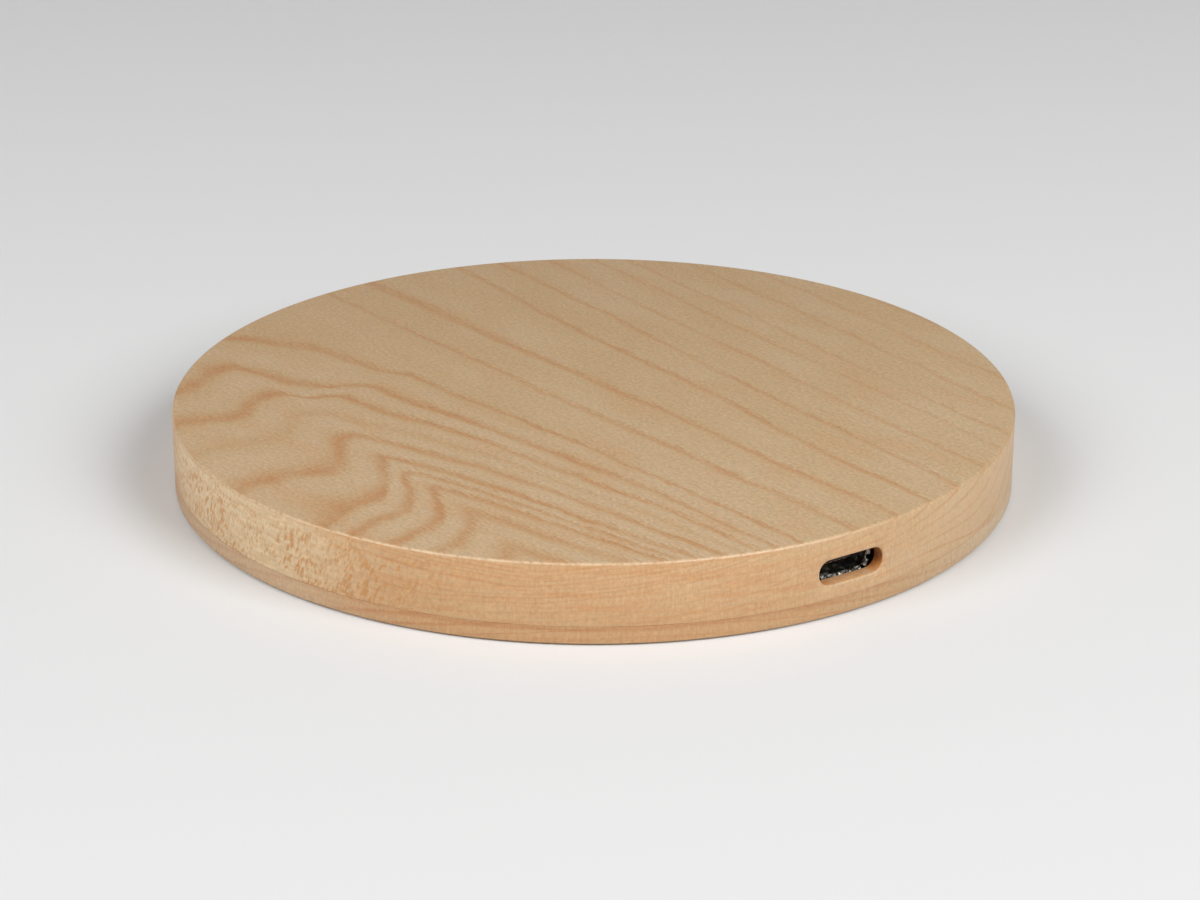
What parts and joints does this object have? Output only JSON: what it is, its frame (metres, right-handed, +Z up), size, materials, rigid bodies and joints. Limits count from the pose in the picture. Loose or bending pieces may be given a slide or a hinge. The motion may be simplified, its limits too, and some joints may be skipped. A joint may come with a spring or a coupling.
{
  "type": "wireless charging pad",
  "caption": "Round flat wooden pad that charges a phone laid on it, with a small power socket in its edge, a coil and circuit board inside and soft feet below.",
  "frame": {"origin": "on the table, under the middle of the round pad", "axes": "+Z up through the charging face; the power socket in the edge faces -Y"},
  "size_m": [0.1016, 0.1016, 0.0098],
  "materials": {
    "maple": "sanded maple with a thin satin oil finish",
    "silicone": "matt moulded silicone",
    "copper_wire": "enamelled stranded copper wire",
    "clear_tape": "double-sided adhesive tape",
    "ferrite": "matt sintered ferrite",
    "foam": "soft closed-cell foam",
    "solder_mask": "green solder mask on glass-fibre board",
    "moulding": "black moulded resin",
    "ceramic_body": "fired ceramic with tinned ends",
    "resistor_film": "black glass coat with tinned ends",
    "lamp_resin": "clear resin",
    "solder": "bright solder",
    "plated_steel": "stamped steel, tin plated",
    "gold_flash": "thin gold plate on copper alloy"
  },
  "bodies": {
    "root": {"base_disc": "maple", "board_tape": "clear_tape", "bridge_transistor_1": "moulding", "bridge_transistor_2": "moulding", "circuit_board": "solder_mask", "coil_tape": "clear_tape", "coil_winding": "copper_wire", "controller_chip": "moulding", "ferrite_plate": "ferrite", "ferrite_tape": "clear_tape", "foam_pad": "foam", "foot_1": "silicone", "foot_2": "silicone", "foot_3": "silicone", "foot_4": "silicone", "input_bead": "ferrite", "input_capacitor_1": "ceramic_body", "input_capacitor_2": "ceramic_body", "regulator": "moulding", "sense_resistor": "resistor_film", "small_capacitor_1": "ceramic_body", "small_capacitor_2": "ceramic_body", "small_capacitor_3": "ceramic_body", "small_capacitor_4": "ceramic_body", "small_capacitor_5": "ceramic_body", "small_capacitor_6": "ceramic_body", "small_resistor_1": "resistor_film", "small_resistor_2": "resistor_film", "small_resistor_3": "resistor_film", "small_resistor_4": "resistor_film", "small_resistor_5": "resistor_film", "small_resistor_6": "resistor_film", "socket_contact_1": "gold_flash", "socket_contact_2": "gold_flash", "socket_contact_3": "gold_flash", "socket_contact_4": "gold_flash", "socket_contact_5": "gold_flash", "socket_insulator": "moulding", "socket_shell": "plated_steel", "solder_joint_1": "solder", "solder_joint_2": "solder", "status_lamp_1": "lamp_resin", "status_lamp_2": "lamp_resin", "tank_capacitor_1": "ceramic_body", "tank_capacitor_2": "ceramic_body", "tank_capacitor_3": "ceramic_body", "tank_capacitor_4": "ceramic_body", "top_body": "maple"}
  },
  "joints": []
}
